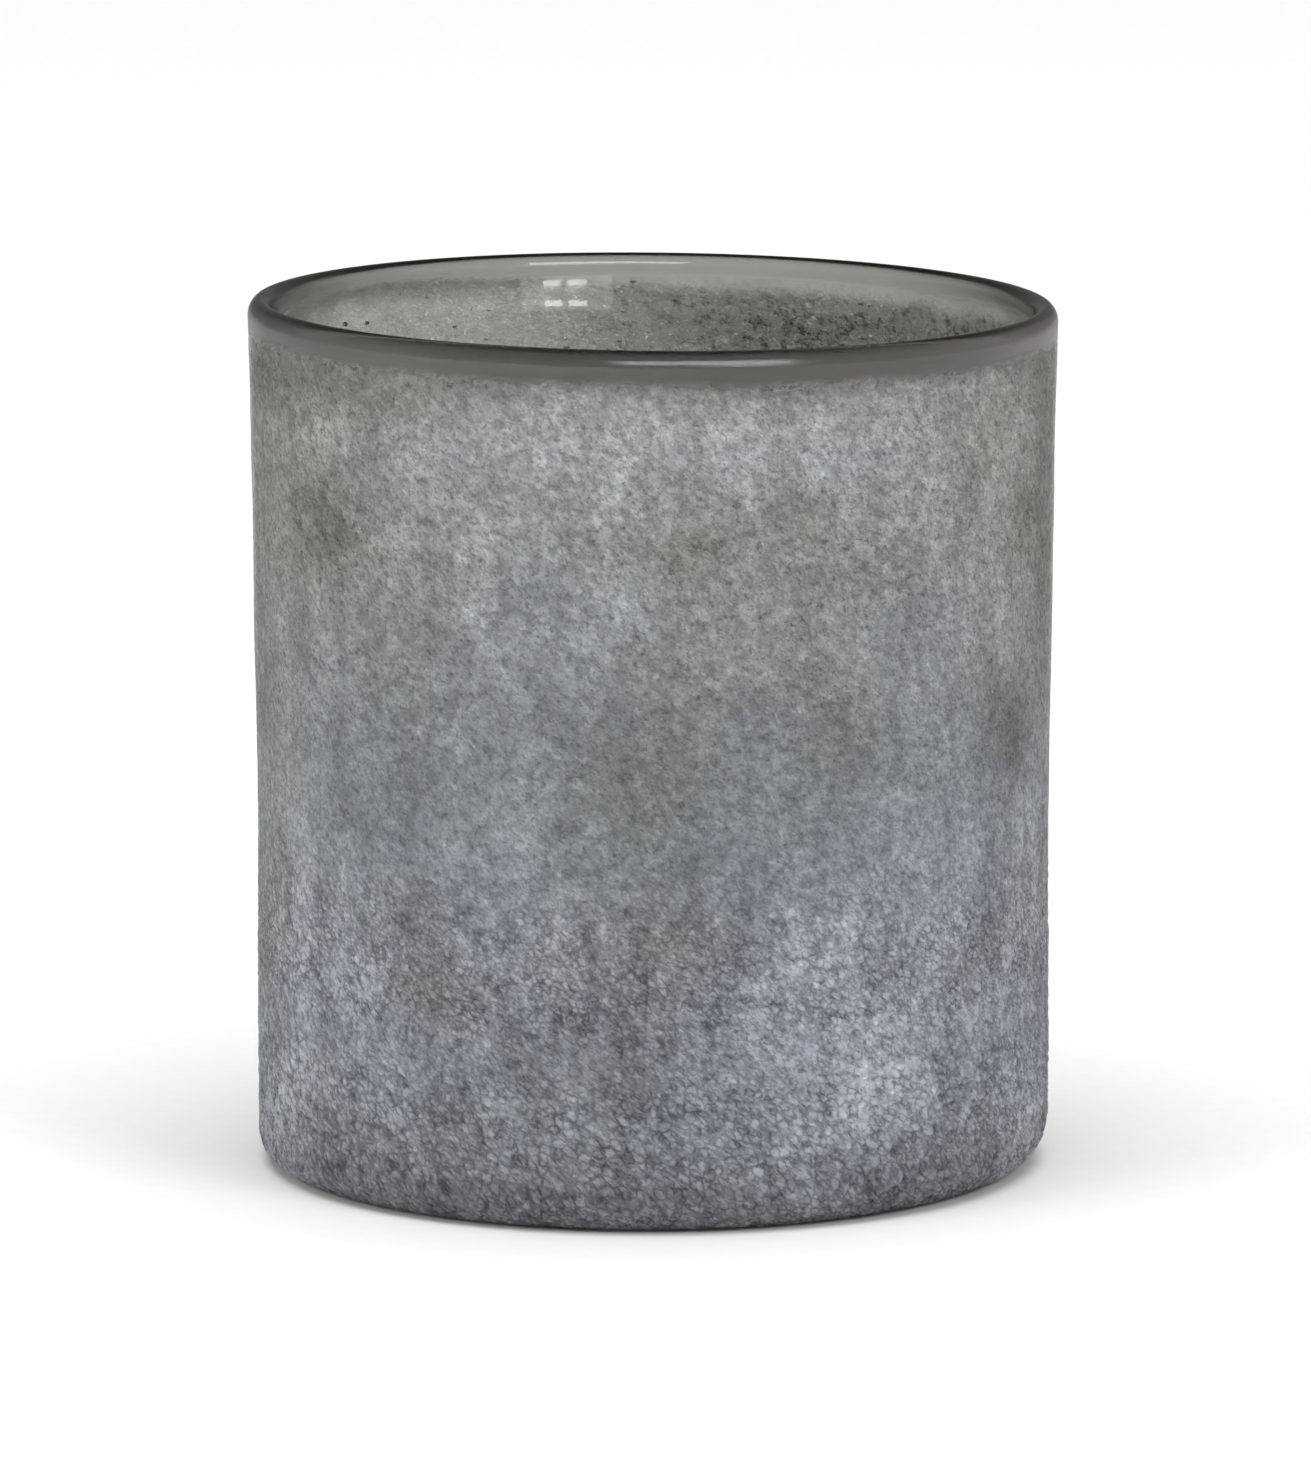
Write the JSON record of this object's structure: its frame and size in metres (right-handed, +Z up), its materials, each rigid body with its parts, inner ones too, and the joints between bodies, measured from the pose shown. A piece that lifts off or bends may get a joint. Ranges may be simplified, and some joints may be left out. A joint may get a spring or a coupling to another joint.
{
  "type": "glass cylinder vase",
  "caption": "Thick-walled smoky glass cylinder vase with a rounded clear lip, a frosted and crackled outer skin, a rounded heel and an open top for cut flowers.",
  "frame": {"origin": "centre of the foot, on the surface that the vase stands on", "axes": "+Z up, along the vase's axis from the foot to the open mouth; the vase is round, so +X and +Y are free"},
  "size_m": [0.162, 0.162, 0.1745],
  "materials": {
    "lip_glass": "clear smoky glass, fire-polished",
    "smoky_glass": "clear smoky grey glass, glossy",
    "polished_pontil": "ground and polished glass",
    "frosted_skin": "matt, fine-grained frost fused to the glass",
    "crackled_skin": "matt, coarse crackled frost fused to the glass"
  },
  "bodies": {
    "root": {"rim_lip": "lip_glass", "glass_wall": "smoky_glass", "glass_base": "smoky_glass", "pontil_mark": "polished_pontil", "frost_skin": "frosted_skin", "crackle_skin": "crackled_skin"}
  },
  "joints": []
}
